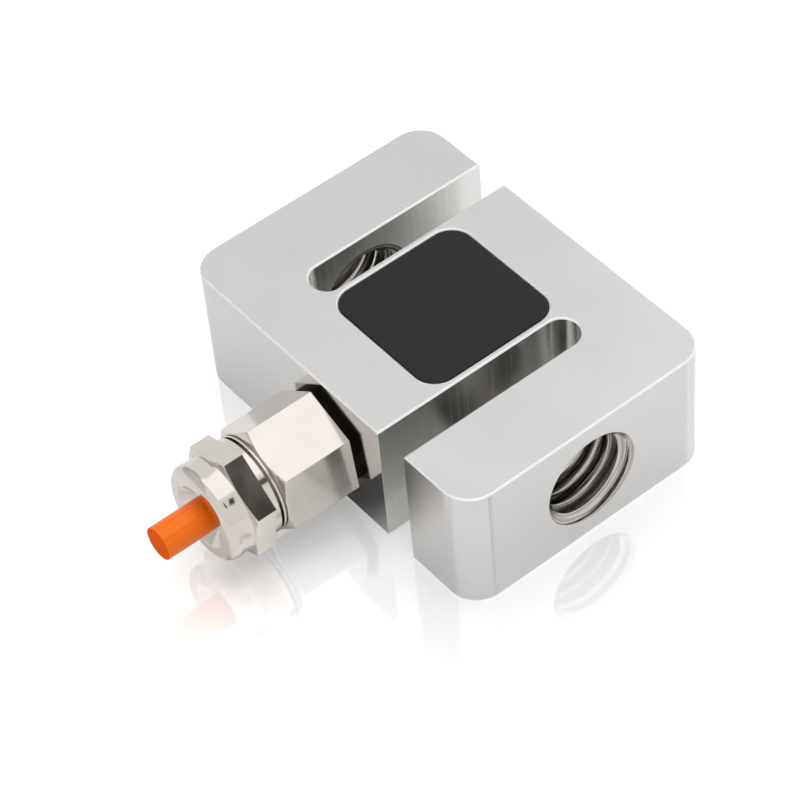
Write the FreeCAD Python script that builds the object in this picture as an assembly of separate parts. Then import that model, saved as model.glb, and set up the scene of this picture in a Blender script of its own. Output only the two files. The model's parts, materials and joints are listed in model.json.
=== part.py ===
import FreeCAD, Part
import math
import os

# S-type load cell lying on its back, in millimetres.
# X runs across the block away from the cable gland, Y is the load axis, Z is up through the thickness.
# The origin is the centre of the block's back face.

V = FreeCAD.Vector
PAST = 1.0                  # how far a cutting shape runs past the face that it opens
NEAR = 1e-6

# ---- block -------------------------------------------------------------------------------------
WIDTH = 50.8                # across, along X
HEIGHT = 72.0               # along the load axis Y
THICKNESS = 25.0            # along Z
CORNER_RADIUS = 5.5         # the four upright corners
EDGE_BEVEL = 0.3            # bevel on every edge of the two broad faces
SLOT_WIDTH = 6.4            # the two slots that give the block its S
SLOT_WALL = 1.15            # left between a slot and the seat of a cover
SLOT_REACH = 13.1           # round end of a slot, past the block's centre line

# ---- load threads, M18 x 2.5, one through each arm ---------------------------------------------
LOAD_THREAD_RADIUS = 9.0

# ---- gauge pockets, one in each broad face -----------------------------------------------------
WEB = 5.0                   # shear web left between the pockets
POCKET_SIDE = 22.0
POCKET_RADIUS = 3.0
SEAT_LEDGE = 2.4            # shallow seat of the cover, all round the pocket
SEAT_RADIUS = 4.2
SEAT_DEPTH = 1.2
COVER_SINK = 0.1            # cover face below the block's face
COVER_EDGE = 0.2            # bevel round the cover's face

# ---- clearances --------------------------------------------------------------------------------
COVER_FIT = 0.05
THREAD_FIT = 0.05
SLIDE_FIT = 0.05
WIRE_FIT = 0.02

# ---- cable entry and gland, on the block's -X face ----------------------------------------------
ENTRY_RADIUS = 8.0          # M16 thread of the gland's stub
ENTRY_DEPTH = 9.0
ENTRY_GAP = 0.6             # stub end to the bottom of the entry thread
PASSAGE_RADIUS = 5.6        # wire passage from the entry to both pockets
PASSAGE_INTO_WEB = 1.6      # how far the passage bites into the web
WASHER_THICKNESS = 1.15
HEX_WALL = 0.9              # from the entry thread to the flats of both hexagons
HEX_LENGTH = 13.65
HEX_TURN = 22.6             # turn of the long hexagon about the gland axis, degrees
HEX_CONE = 30.0             # corner chamfer at the front of the long hexagon, degrees
HEX_FACE_INSET = 0.15       # from a flat to the circle that the corner chamfer leaves on a hexagon's end
GROOVE_DEPTH = 0.65         # turned groove and shoulder in front of the long hexagon
GROOVE_WIDTH = 0.25
SHOULDER_WIDTH = 0.4
SHOULDER_STEP = 1.75        # from the shoulder down to the thread that the dome nut runs on
NECK_LENGTH = 5.2
NECK_WALL = 1.2             # from that thread to the seat of the clamp cage
STUB_BEVEL = 0.6            # bevel at both threads' ends
BORE_CLEARANCE = 0.4        # round the cable, through the gland body
CAGE_SEAT_DEPTH = 9.0

# ---- dome nut ----------------------------------------------------------------------------------
NUT_GAP = 0.35              # nut to the gland body's shoulder
NUT_COLLAR = 1.5
NUT_HEX = 4.05
NUT_CONE = 17.0             # corner chamfer at the front of the nut's hexagon, degrees
NUT_DOME = 4.4
NUT_TURN = 39.9
WAIST_DEPTH = 0.12          # narrow place between the nut's hexagon and its rounded lip
LIP_ROUND = 1.6
LIP_START = 12.0            # where the waist meets the lip, degrees behind its widest place
COLLAR_BEVEL = 0.2
MOUTH_STEP = 0.2            # countersunk mouth smaller than the seat of the clamp cage
MOUTH_ROUND = 0.35
THROAT_CLEARANCE = 0.08     # round the cable, through the nut's front wall
WALL_DEPTH = 3.3            # from the nut's front to the back of that wall
NUT_THREAD_PAST_NECK = 0.4

# ---- clamping parts ----------------------------------------------------------------------------
CAGE_WALL = 1.1
CAGE_LIP = 1.4              # claws beyond the neck
CLAW_COUNT = 8
CLAW_SLIT = 0.7
CLAW_LENGTH = 5.0
SEAL_SINK = 0.5             # seal's front behind the claws' tips

# ---- cable -------------------------------------------------------------------------------------
CABLE_RADIUS = 3.0
CABLE_STUB = 8.3            # cable beyond the nut
JACKET_WALL = 0.55
END_WALL = 0.6              # jacket closed over the cable's end
BRAID_WALL = 0.25
JACKET_SHORT = 1.0          # jacket's inner end, back inside the gland's stub
SHIELD_TAIL = 0.5           # braid and filler beyond the jacket's end
CORE_RADIUS = 0.62
COPPER_RADIUS = 0.33
CORE_SPREAD = 0.15          # core centres, further out than where cores touch
CORE_BEND = 4.0
CORE_RISE_START = 0.4       # cores turn up this far past the gland's stub
CORE_RISE_SHORT = 0.6       # and are level again this far before the pocket
CORE_PAD_Y = 1.4            # soldered core end, from the middle of the board
CORE_OVER_BOARD = 0.8       # insulation over the board's edge
COPPER_BARED = 0.9          # copper beyond the insulation
DRAIN_RADIUS = 0.2
DRAIN_INSET = 0.2           # drain wire to the inside of the braid
SOLDER_FOOT = 0.75
SOLDER_TOP = 0.4
SOLDER_HEIGHT = 1.1

# ---- strain gauges, terminal boards and wiring --------------------------------------------------
GAUGE_LENGTH = 6.0
GAUGE_WIDTH = 4.4
GAUGE_THICKNESS = 0.12
GAUGE_SPACING = 7.8         # centre to centre, along Y
GAUGE_ANGLE = 45.0
GAUGE_FROM_BOARD = 1.0
BOARD_FROM_POCKET = 2.3     # pocket's -X wall to the board
BOARD_LENGTH = 4.2          # along X
BOARD_WIDTH = 15.0          # along Y
BOARD_THICKNESS = 0.6
RESISTOR = (2.0, 1.25, 0.5)
RESISTOR_PLACES = {"zero_trim_resistor": -5.5, "span_trim_resistor": 0.0, "temperature_trim_resistor": 5.5}
RESISTOR_X = 0.5            # resistor's near side, past the board's middle
LEAD_RADIUS = 0.12
LEAD_BEND = 0.5
LEAD_SPACING = 1.2          # the two leads of one gauge
LEAD_ON_BOARD = 0.25
LEAD_PAST_BOARD = 0.45      # straight past the board's edge, then down to the gauge
LEAD_SLOPE = 0.7
BRIDGE_RADIUS = 0.18
BRIDGE_BEND = 0.8
BRIDGE_ON_BOARD = 0.8
BRIDGE_OFFSETS = (-4.5, -3.9, 3.9, 4.5)

# ---- places worked out from the sizes -----------------------------------------------------------
MID_Z = THICKNESS / 2
FACE_X = -WIDTH / 2
POCKET_TOP = MID_Z + WEB / 2
POCKET_BOTTOM = MID_Z - WEB / 2
SEAT_SIDE = POCKET_SIDE + 2 * SEAT_LEDGE
SLOT_OFFSET = SEAT_SIDE / 2 + SLOT_WALL + SLOT_WIDTH / 2
SEAT_TOP = THICKNESS - SEAT_DEPTH
PASSAGE_END = -POCKET_SIDE / 2 + PASSAGE_INTO_WEB
STUB_END = FACE_X + ENTRY_DEPTH - ENTRY_GAP
HEX_FLATS = 2 * (ENTRY_RADIUS + HEX_WALL)
HEX_FACE_RADIUS = HEX_FLATS / 2 - HEX_FACE_INSET
GROOVE_RADIUS = HEX_FACE_RADIUS - GROOVE_DEPTH
NECK_RADIUS = HEX_FACE_RADIUS - SHOULDER_STEP
CAGE_SEAT_RADIUS = NECK_RADIUS - NECK_WALL
MOUTH_RADIUS = CAGE_SEAT_RADIUS - MOUTH_STEP
LIP_RADIUS = HEX_FACE_RADIUS
WAIST_RADIUS = LIP_RADIUS - WAIST_DEPTH
HEX_IN = FACE_X - WASHER_THICKNESS
HEX_OUT = HEX_IN - HEX_LENGTH
GROOVE_END = HEX_OUT - GROOVE_WIDTH
SHOULDER_END = GROOVE_END - SHOULDER_WIDTH
NECK_END = SHOULDER_END - NECK_LENGTH
CAGE_SEAT = NECK_END + CAGE_SEAT_DEPTH
NUT_BACK = SHOULDER_END - NUT_GAP
NUT_HEX_BACK = NUT_BACK - NUT_COLLAR
NUT_HEX_FRONT = NUT_HEX_BACK - NUT_HEX
NUT_FRONT = NUT_HEX_FRONT - NUT_DOME
WALL_BACK = NUT_FRONT + WALL_DEPTH
NUT_BORE = NECK_RADIUS + THREAD_FIT
NUT_BORE_END = NECK_END - NUT_THREAD_PAST_NECK
CAGE_RADIUS = CAGE_SEAT_RADIUS - SLIDE_FIT
SEAL_RADIUS = CAGE_RADIUS - CAGE_WALL - SLIDE_FIT
CAGE_FRONT = NECK_END - CAGE_LIP
CABLE_END = NUT_FRONT - CABLE_STUB
LAY_END = CABLE_END + END_WALL
JACKET_TAIL = STUB_END - JACKET_SHORT
SHIELD_END = JACKET_TAIL + SHIELD_TAIL
BRAID_RADIUS = CABLE_RADIUS - JACKET_WALL
BRAID_BORE = BRAID_RADIUS - BRAID_WALL
GLAND_BORE = CABLE_RADIUS + BORE_CLEARANCE
THROAT_RADIUS = CABLE_RADIUS + THROAT_CLEARANCE
CORE_CIRCLE = CORE_RADIUS * math.sqrt(2) + CORE_SPREAD
DRAIN_CIRCLE = BRAID_BORE - DRAIN_RADIUS - DRAIN_INSET
BOARD_BACK = BOARD_FROM_POCKET - POCKET_SIDE / 2
BOARD_X = BOARD_BACK + BOARD_LENGTH / 2
BOARD_FRONT = BOARD_X + BOARD_LENGTH / 2
BOARD_TOP = POCKET_TOP + BOARD_THICKNESS
GAUGE_TURN = math.radians(GAUGE_ANGLE)
GAUGE_REACH = (GAUGE_LENGTH * math.cos(GAUGE_TURN) + GAUGE_WIDTH * math.sin(GAUGE_TURN)) / 2
GAUGE_X = BOARD_FRONT + GAUGE_REACH + GAUGE_FROM_BOARD


# ---- general shapes ----------------------------------------------------------------------------
def rounded_prism(length, width, radius, low, high):
    """Upright prism with rounded corners, centred on the Z axis."""
    box = Part.makeBox(length, width, high - low, V(-length / 2, -width / 2, low))
    uprights = [e for e in box.Edges if abs(e.Vertexes[0].Z - e.Vertexes[1].Z) > (high - low) / 2]
    return box.makeFillet(radius, uprights)


def gland_ring(x_low, x_high, outer, inner=0.0):
    """Cylinder or sleeve about the gland axis, between two places along X."""
    shape = Part.makeCylinder(outer, x_high - x_low, V(x_low, 0, MID_Z), V(1, 0, 0))
    if inner > 0:
        shape = shape.cut(Part.makeCylinder(inner, x_high - x_low, V(x_low, 0, MID_Z), V(1, 0, 0)))
    return shape


def turned(start, steps):
    """Solid turned about the gland axis. Points are (x, radius), and a pair of points is an arc."""
    def place(point):
        return V(point[0], 0, MID_Z + point[1])

    edges = []
    here = start
    for step in steps + [start]:
        if isinstance(step[0], tuple):
            middle, there = step
            edges.append(Part.Arc(place(here), place(middle), place(there)).toShape())
        else:
            there = step
            edges.append(Part.LineSegment(place(here), place(there)).toShape())
        here = there
    return Part.Face(Part.Wire(edges)).revolve(V(0, 0, MID_Z), V(1, 0, 0), 360)


def hexagon(x_low, x_high, turn):
    """Hexagonal bar about the gland axis. The turn of its first corner runs from +Y towards +Z."""
    corner = HEX_FLATS / math.sqrt(3)
    angles = [math.radians(turn + 60 * k) for k in range(7)]
    points = [V(x_low, corner * math.cos(a), MID_Z + corner * math.sin(a)) for a in angles]
    return Part.Face(Part.makePolygon(points)).extrude(V(x_high - x_low, 0, 0))


def chamfered_hexagon(x_low, x_high, turn, cone):
    """Hexagonal bar whose corners are chamfered by a cone at its front, -X end."""
    wide = HEX_FLATS / math.sqrt(3) + PAST
    back = (wide - HEX_FACE_RADIUS) * math.tan(math.radians(cone))
    envelope = turned((x_low, 0), [(x_low, HEX_FACE_RADIUS), (x_low + back, wide), (x_high, wide),
                                   (x_high, 0)])
    return hexagon(x_low, x_high, turn).common(envelope)


def run_edges(points, bend):
    """Straight runs through the points, joined by tangent arcs of one radius."""
    edges = []
    here = points[0]
    for k in range(1, len(points) - 1):
        back = (points[k - 1] - points[k]).normalize()
        ahead = (points[k + 1] - points[k]).normalize()
        turn = math.pi - back.getAngle(ahead)
        reach = bend * math.tan(turn / 2)
        centre_way = (back + ahead).normalize()
        middle = points[k] + centre_way * (bend / math.cos(turn / 2) - bend)
        first = points[k] + back * reach
        last = points[k] + ahead * reach
        edges.append(Part.LineSegment(here, first).toShape())
        edges.append(Part.Arc(first, middle, last).toShape())
        here = last
    edges.append(Part.LineSegment(here, points[-1]).toShape())
    return edges


def wire_solid(points, bend, radius):
    """Round wire along the runs."""
    path = Part.Wire(run_edges(points, bend))
    way = points[1] - points[0]
    section = Part.Wire(Part.Circle(points[0], way, radius).toShape())
    return path.makePipeShell([section], True, True)


def turned_under(shape):
    """Copy for the lower pocket, half a turn about the gland axis."""
    copy = shape.copy()
    copy.rotate(V(0, 0, MID_Z), V(1, 0, 0), 180)
    return copy


# ---- block and covers ----------------------------------------------------------------------------
def slot():
    """One slot: round at its blind end, open through the -X side."""
    radius = SLOT_WIDTH / 2
    end = SLOT_REACH - radius
    start = V(FACE_X - PAST, -SLOT_OFFSET - radius, 0)
    run = Part.makeBox(end - FACE_X + PAST, SLOT_WIDTH, THICKNESS, start)
    return run.fuse(Part.makeCylinder(radius, THICKNESS, V(end, -SLOT_OFFSET, 0)))


def broad_face_edges(shape):
    """Every edge that lies in one of the two broad faces."""
    edges = []
    for edge in shape.Edges:
        box = edge.BoundBox
        if box.ZLength < NEAR and min(abs(box.ZMin), abs(box.ZMin - THICKNESS)) < NEAR:
            edges.append(edge)
    return edges


def load_thread():
    """Threaded hole through the -Y arm, from its end face into the slot."""
    depth = HEIGHT / 2 - SLOT_OFFSET - SLOT_WIDTH / 2
    return Part.makeCylinder(LOAD_THREAD_RADIUS, depth, V(0, -HEIGHT / 2, MID_Z), V(0, 1, 0))


def half_turn(shape):
    """Copy turned half way round the Z axis, as the other half of the S."""
    copy = shape.copy()
    copy.rotate(V(0, 0, 0), V(0, 0, 1), 180)
    return copy


def s_body():
    block = rounded_prism(WIDTH, HEIGHT, CORNER_RADIUS, 0, THICKNESS)
    for seat in ((SEAT_TOP, THICKNESS), (0, SEAT_DEPTH)):
        block = block.cut(rounded_prism(SEAT_SIDE, SEAT_SIDE, SEAT_RADIUS, *seat))
    block = block.cut([slot(), half_turn(slot())])
    block = block.makeChamfer(EDGE_BEVEL, broad_face_edges(block))
    pockets = [rounded_prism(POCKET_SIDE, POCKET_SIDE, POCKET_RADIUS, *ends)
               for ends in ((POCKET_TOP, SEAT_TOP), (SEAT_DEPTH, POCKET_BOTTOM))]
    entry = gland_ring(FACE_X, FACE_X + ENTRY_DEPTH, ENTRY_RADIUS)
    passage = gland_ring(FACE_X + ENTRY_DEPTH, PASSAGE_END, PASSAGE_RADIUS)
    return block.cut(pockets + [load_thread(), half_turn(load_thread()), entry, passage])


def cover():
    side = SEAT_SIDE - 2 * COVER_FIT
    top = THICKNESS - COVER_SINK
    plate = rounded_prism(side, side, SEAT_RADIUS - COVER_FIT, SEAT_TOP, top)
    rim = [e for e in plate.Edges if e.BoundBox.ZMin > top - NEAR]
    return plate.makeChamfer(COVER_EDGE, rim)


# ---- strain gauges, boards and wiring -------------------------------------------------------------
def strain_gauge(side):
    """Foil gauge bonded to the web at 45 degrees, left or right of the centre."""
    foil = Part.makeBox(GAUGE_LENGTH, GAUGE_WIDTH, GAUGE_THICKNESS,
                        V(-GAUGE_LENGTH / 2, -GAUGE_WIDTH / 2, POCKET_TOP))
    foil.rotate(V(0, 0, 0), V(0, 0, 1), side * GAUGE_ANGLE)
    foil.translate(V(GAUGE_X, side * GAUGE_SPACING / 2, 0))
    return foil


def terminal_board():
    return Part.makeBox(BOARD_LENGTH, BOARD_WIDTH, BOARD_THICKNESS,
                        V(BOARD_BACK, -BOARD_WIDTH / 2, POCKET_TOP))


def resistor(place_y):
    """Chip resistor along the board's far edge."""
    length, width, height = RESISTOR
    return Part.makeBox(width, length, height, V(BOARD_X + RESISTOR_X, place_y - length / 2, BOARD_TOP))


def gauge_leads():
    """Four fine leads, two from each gauge to the board."""
    high = BOARD_TOP + LEAD_RADIUS
    low = POCKET_TOP + GAUGE_THICKNESS + LEAD_RADIUS
    bend_x = BOARD_FRONT + LEAD_PAST_BOARD
    leads = []
    for side in (-1, 1):
        for step in (-LEAD_SPACING / 2, LEAD_SPACING / 2):
            y = side * GAUGE_SPACING / 2 + step
            points = [V(BOARD_FRONT - LEAD_ON_BOARD, y, high), V(bend_x, y, high),
                      V(bend_x + LEAD_SLOPE, y, low), V(GAUGE_X, y, low)]
            leads.append(wire_solid(points, LEAD_BEND, LEAD_RADIUS))
    return Part.makeCompound(leads)


def bridge_wires():
    """Four wires that join the two boards round the end of the web, through the passage."""
    wires = []
    x_turn = (-POCKET_SIDE / 2 + PASSAGE_END) / 2
    above = BOARD_TOP + BRIDGE_RADIUS
    below = 2 * MID_Z - above
    for y in BRIDGE_OFFSETS:
        points = [V(BOARD_BACK + BRIDGE_ON_BOARD, y, above), V(x_turn, y, above),
                  V(x_turn, y, below), V(BOARD_BACK + BRIDGE_ON_BOARD, y, below)]
        wires.append(wire_solid(points, BRIDGE_BEND, BRIDGE_RADIUS))
    return Part.makeCompound(wires)


# ---- gland -----------------------------------------------------------------------------------------
def gland_body():
    """Long hexagon with the threaded stub into the block and the threaded neck for the dome nut."""
    stub = ENTRY_RADIUS - THREAD_FIT
    bars = turned((STUB_END, 0), [
        (STUB_END, stub - STUB_BEVEL), (STUB_END - STUB_BEVEL, stub),
        (HEX_OUT, stub), (HEX_OUT, GROOVE_RADIUS),
        (GROOVE_END, GROOVE_RADIUS), (GROOVE_END, HEX_FACE_RADIUS),
        (SHOULDER_END, HEX_FACE_RADIUS), (SHOULDER_END, NECK_RADIUS),
        (NECK_END + STUB_BEVEL, NECK_RADIUS), (NECK_END, NECK_RADIUS - STUB_BEVEL), (NECK_END, 0)])
    body = bars.fuse(chamfered_hexagon(HEX_OUT, HEX_IN, HEX_TURN, HEX_CONE))
    bore = gland_ring(NECK_END, STUB_END, GLAND_BORE)
    return body.cut([bore, gland_ring(NECK_END, CAGE_SEAT, CAGE_SEAT_RADIUS)]).removeSplitter()


def on_arc(x, radius, arc_radius, angle):
    """Point on an arc about (x, radius), at an angle from the outward direction towards +X."""
    turn = math.radians(angle)
    return x + arc_radius * math.sin(turn), radius + arc_radius * math.cos(turn)


def dome_nut():
    """Hexagon nut with a collar behind, and a waist, a rounded lip and a countersunk mouth in front."""
    lip = (NUT_FRONT + LIP_ROUND, LIP_RADIUS - LIP_ROUND, LIP_ROUND)
    lip_start = on_arc(*lip, LIP_START)
    waist = ((NUT_HEX_FRONT + lip_start[0]) / 2, WAIST_RADIUS)
    outside = turned((NUT_BACK, 0), [
        (NUT_BACK, HEX_FACE_RADIUS - COLLAR_BEVEL), (NUT_BACK - COLLAR_BEVEL, HEX_FACE_RADIUS),
        (NUT_HEX_FRONT, HEX_FACE_RADIUS), (waist, lip_start),
        (on_arc(*lip, (LIP_START - 90) / 2), on_arc(*lip, -90)), (NUT_FRONT, 0)])
    mouth = (NUT_FRONT + MOUTH_ROUND, MOUTH_RADIUS + MOUTH_ROUND, MOUTH_ROUND)
    rim = on_arc(*mouth, -135)
    throat = (rim[0] + rim[1] - THROAT_RADIUS, THROAT_RADIUS)
    inside = turned((NUT_BACK, 0), [
        (NUT_BACK, NUT_BORE), (NUT_BORE_END, NUT_BORE), (WALL_BACK, MOUTH_RADIUS),
        (WALL_BACK, THROAT_RADIUS), throat, rim, (on_arc(*mouth, -112.5), on_arc(*mouth, -90)),
        (NUT_FRONT, 0)])
    nut = outside.fuse(chamfered_hexagon(NUT_HEX_FRONT, NUT_HEX_BACK, NUT_TURN, NUT_CONE))
    return nut.cut(inside).removeSplitter()


def clamp_cage():
    """Sleeve with claws that the nut closes on the seal."""
    cage = gland_ring(CAGE_FRONT, CAGE_SEAT, CAGE_RADIUS, CAGE_RADIUS - CAGE_WALL)
    slits = []
    for k in range(CLAW_COUNT):
        corner = V(CAGE_FRONT, -CLAW_SLIT / 2, MID_Z)
        slit = Part.makeBox(CLAW_LENGTH, CLAW_SLIT, CAGE_RADIUS + PAST, corner)
        slit.rotate(V(0, 0, MID_Z), V(1, 0, 0), 360 * k / CLAW_COUNT)
        slits.append(slit)
    return cage.cut(slits)


# ---- cable -----------------------------------------------------------------------------------------
def cable_jacket():
    """Jacket, closed over the end of the stub."""
    jacket = gland_ring(CABLE_END, JACKET_TAIL, CABLE_RADIUS)
    return jacket.cut(gland_ring(LAY_END, JACKET_TAIL, BRAID_RADIUS + WIRE_FIT))


def core_route(side, length_past):
    """Core above the gland axis, from the cable's closed end up to the terminal board."""
    off = CORE_CIRCLE / math.sqrt(2)
    level = BOARD_TOP + CORE_RADIUS
    return [V(LAY_END, side * off, MID_Z + off), V(STUB_END + CORE_RISE_START, side * off, MID_Z + off),
            V(-POCKET_SIDE / 2 - CORE_RISE_SHORT, side * CORE_PAD_Y, level),
            V(BOARD_BACK + CORE_OVER_BOARD + length_past, side * CORE_PAD_Y, level)]


def core_copper(side):
    return wire_solid(core_route(side, COPPER_BARED), CORE_BEND, COPPER_RADIUS)


def core_insulation(side):
    hole = wire_solid(core_route(side, COPPER_BARED), CORE_BEND, COPPER_RADIUS + WIRE_FIT)
    return wire_solid(core_route(side, 0), CORE_BEND, CORE_RADIUS).cut(hole)


def straight_wire(radius, y, z):
    """Round wire along the cable, at a place in the cable's section."""
    return Part.makeCylinder(radius, SHIELD_END - LAY_END, V(LAY_END, y, MID_Z + z), V(1, 0, 0))


def drain_wire():
    return straight_wire(DRAIN_RADIUS, DRAIN_CIRCLE, 0)


def cable_filler():
    """Filler between the cores, inside the braid."""
    off = CORE_CIRCLE / math.sqrt(2)
    holes = [straight_wire(CORE_RADIUS + WIRE_FIT, y, z) for y in (-off, off) for z in (-off, off)]
    holes.append(straight_wire(DRAIN_RADIUS + WIRE_FIT, DRAIN_CIRCLE, 0))
    return gland_ring(LAY_END, SHIELD_END, BRAID_BORE - WIRE_FIT).cut(holes)


def solder_joints():
    """Solder over each bared core end on the board."""
    joints = []
    for side in (-1, 1):
        x = BOARD_BACK + CORE_OVER_BOARD + COPPER_BARED / 2
        joint = Part.makeCone(SOLDER_FOOT, SOLDER_TOP, SOLDER_HEIGHT, V(x, side * CORE_PAD_Y, BOARD_TOP))
        joints.append(joint.cut([core_copper(side), core_insulation(side)]))
    return Part.makeCompound(joints)


# ---- potting ---------------------------------------------------------------------------------------
def potting(pieces):
    """Gel that fills a pocket round everything in it."""
    fill = rounded_prism(POCKET_SIDE, POCKET_SIDE, POCKET_RADIUS, POCKET_TOP, SEAT_TOP)
    return fill.cut(pieces)


def pocket_pieces():
    """Everything in the upper pocket, by node name, as it also lies in the lower one."""
    return {"left_gauge": strain_gauge(-1), "right_gauge": strain_gauge(1),
            "terminal_board": terminal_board(), "gauge_leads": gauge_leads(),
            "solder_joints": solder_joints()}


def gland_and_cable():
    """Gland, seals and cable, by node name."""
    grip = CABLE_RADIUS + WIRE_FIT
    return {"gland_body": gland_body(), "dome_nut": dome_nut(), "clamp_cage": clamp_cage(),
            "sealing_washer": gland_ring(HEX_IN, FACE_X, HEX_FACE_RADIUS, ENTRY_RADIUS),
            "compression_seal": gland_ring(CAGE_FRONT + SEAL_SINK, CAGE_SEAT, SEAL_RADIUS, grip),
            "cable_jacket": cable_jacket(),
            "cable_braid": gland_ring(LAY_END, SHIELD_END, BRAID_RADIUS, BRAID_BORE),
            "cable_filler": cable_filler(), "drain_wire": drain_wire()}


def all_nodes():
    nodes = {"s_body": s_body(), **gland_and_cable(), "bridge_wires": bridge_wires()}
    resistors = {name: resistor(place_y) for name, place_y in RESISTOR_PLACES.items()}
    nodes.update(resistors)
    cores = {side: core_insulation(side) for side in (-1, 1)}
    coppers = {side: core_copper(side) for side in (-1, 1)}
    for side, upper, lower in ((-1, "red", "black"), (1, "green", "white")):
        nodes["core_" + upper] = cores[side]
        nodes["copper_" + upper] = coppers[side]
        nodes["core_" + lower] = turned_under(cores[side])
        nodes["copper_" + lower] = turned_under(coppers[side])
    pocket = pocket_pieces()
    held = list(pocket.values()) + list(cores.values()) + list(coppers.values())
    pocket["cover"] = cover()
    for name, shape in pocket.items():
        nodes["top_" + name] = shape
        nodes["bottom_" + name] = turned_under(shape)
    nodes["top_potting"] = potting(held + [nodes["bridge_wires"]] + list(resistors.values()))
    nodes["bottom_potting"] = turned_under(potting(held + [turned_under(nodes["bridge_wires"])]))
    return nodes


os.makedirs("parts", exist_ok=True)
for node, shape in all_nodes().items():
    shape.exportStep("parts/" + node + ".step")
    print(node, len(shape.Solids), shape.isValid(), round(shape.Volume, 2))
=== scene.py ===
# %% [markdown]
# # An S type load cell
#
# A load cell of this type is one block of stainless steel, cut to an S by two slots. A threaded hole
# in each arm takes the pull or the push, and strain gauges in a pocket of the middle bar measure how
# much it bends. A plated cable gland carries the cable in from the side.
#
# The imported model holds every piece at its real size. This script gives each one its finish, adds
# what is too fine for the solids, such as screw threads and wire strands, and lights it softly.

import json
import math

import bmesh
import bpy
from mathutils import Matrix, Vector


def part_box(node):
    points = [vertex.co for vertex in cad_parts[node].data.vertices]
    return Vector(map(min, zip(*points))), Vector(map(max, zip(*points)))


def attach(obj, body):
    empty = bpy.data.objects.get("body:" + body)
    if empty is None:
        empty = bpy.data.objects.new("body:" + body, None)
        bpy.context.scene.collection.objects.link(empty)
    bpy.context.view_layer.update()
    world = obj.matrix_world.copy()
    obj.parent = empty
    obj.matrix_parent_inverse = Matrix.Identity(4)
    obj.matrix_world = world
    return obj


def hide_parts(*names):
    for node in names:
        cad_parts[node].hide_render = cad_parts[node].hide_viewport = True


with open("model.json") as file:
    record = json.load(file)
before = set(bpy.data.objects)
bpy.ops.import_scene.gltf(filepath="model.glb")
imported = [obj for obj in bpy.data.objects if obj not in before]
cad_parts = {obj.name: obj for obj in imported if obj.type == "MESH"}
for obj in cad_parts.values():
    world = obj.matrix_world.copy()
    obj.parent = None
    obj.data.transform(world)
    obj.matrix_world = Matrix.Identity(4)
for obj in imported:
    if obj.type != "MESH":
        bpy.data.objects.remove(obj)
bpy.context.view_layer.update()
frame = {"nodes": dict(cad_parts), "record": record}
print("nodes in the frame:", len(frame["nodes"]))

# %% [markdown]
# ## Units and places
#
# Blender works in metres, and a maker thinks in millimetres, so sizes on the part are written in
# millimetres and multiplied by MM. The room around it, its lamp and its cards are written in metres.

# %% Units and places
MM = 0.001

block_low, block_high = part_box("s_body")
block_middle = (block_low + block_high) / 2
cable_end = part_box("cable_jacket")[0].x
print("block in mm:", [round(v / MM, 2) for v in block_high - block_low])


# %% [markdown]
# ## Small tools
#
# Colours are written as hex values, as a paint chart gives them, and turned to the linear values that
# the renderer works in. One function adds a shader or geometry node with its settings and its links.
# Sums are written as a worksheet, line by line, because a nest of nodes is hard to read. Pattern sizes
# are written in millimetres, and turned to scales for Object coordinates, which are in metres.

# %% Colours and nodes
def linear(code):
    """Linear colour, with alpha, from an sRGB hex value."""
    out = []
    for start in (1, 3, 5):
        value = int(code[start:start + 2], 16) / 255
        out.append(value / 12.92 if value <= 0.04045 else ((value + 0.055) / 1.055) ** 2.4)
    return (*out, 1.0)


def add(tree, kind, values=None, **settings):
    """Adds a node. Settings are its properties, and values fill its inputs: numbers, or sockets to link."""
    node = tree.nodes.new(kind)
    for name, value in settings.items():
        setattr(node, name, value)
    for key, value in (values or {}).items():
        if isinstance(value, bpy.types.NodeSocket):
            tree.links.new(value, node.inputs[key])
        else:
            node.inputs[key].default_value = value
    return node


def work_out(tree, known, sums):
    """Adds a chain of sums. Each line holds a result's name, an operation, and names or numbers."""
    for result, operation, *parts in sums:
        values = {entry: known.get(part, part) for entry, part in enumerate(parts)}
        known[result] = add(tree, "ShaderNodeMath", values, operation=operation).outputs[0]
    return known[result]


def per_mm(size):
    """Scale of a noise whose grain is this many millimetres, on Object coordinates."""
    return 1 / (size * MM)


def bare(name):
    """New material with no nodes yet, and its tree."""
    material = bpy.data.materials.new(name)
    material.use_nodes = True
    material.node_tree.nodes.clear()
    return material, material.node_tree


def finish(name, **surface):
    """New material with one Principled shader. Underscores in the names of its inputs stand for spaces."""
    material, tree = bare(name)
    values = {key.replace("_", " "): value for key, value in surface.items()}
    shader = add(tree, "ShaderNodeBsdfPrincipled", values)
    add(tree, "ShaderNodeOutputMaterial", {"Surface": shader.outputs["BSDF"]})
    place = add(tree, "ShaderNodeTexCoord").outputs["Object"]
    return material, tree, shader, place


def vary(tree, shader, entry, pattern, low, high):
    """Drives one number of the shader between two values by a pattern."""
    spread = add(tree, "ShaderNodeMapRange", {"Value": pattern, "To Min": low, "To Max": high})
    tree.links.new(spread.outputs["Result"], shader.inputs[entry])


def tint(tree, shader, pattern, dark, light):
    """Drives the shader's colour between two hex colours by a pattern."""
    mix = add(tree, "ShaderNodeMix", {0: pattern, 6: linear(dark), 7: linear(light)}, data_type="RGBA")
    tree.links.new(mix.outputs[2], shader.inputs["Base Color"])


def raise_bumps(tree, shader, pattern, depth_mm, strength=1.0):
    """Gives the shader a bump of this depth."""
    bump = add(tree, "ShaderNodeBump", {"Height": pattern, "Distance": depth_mm * MM, "Strength": strength})
    tree.links.new(bump.outputs["Normal"], shader.inputs["Normal"])


print("mid grey as linear:", [round(v, 3) for v in linear("#808080")])


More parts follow.
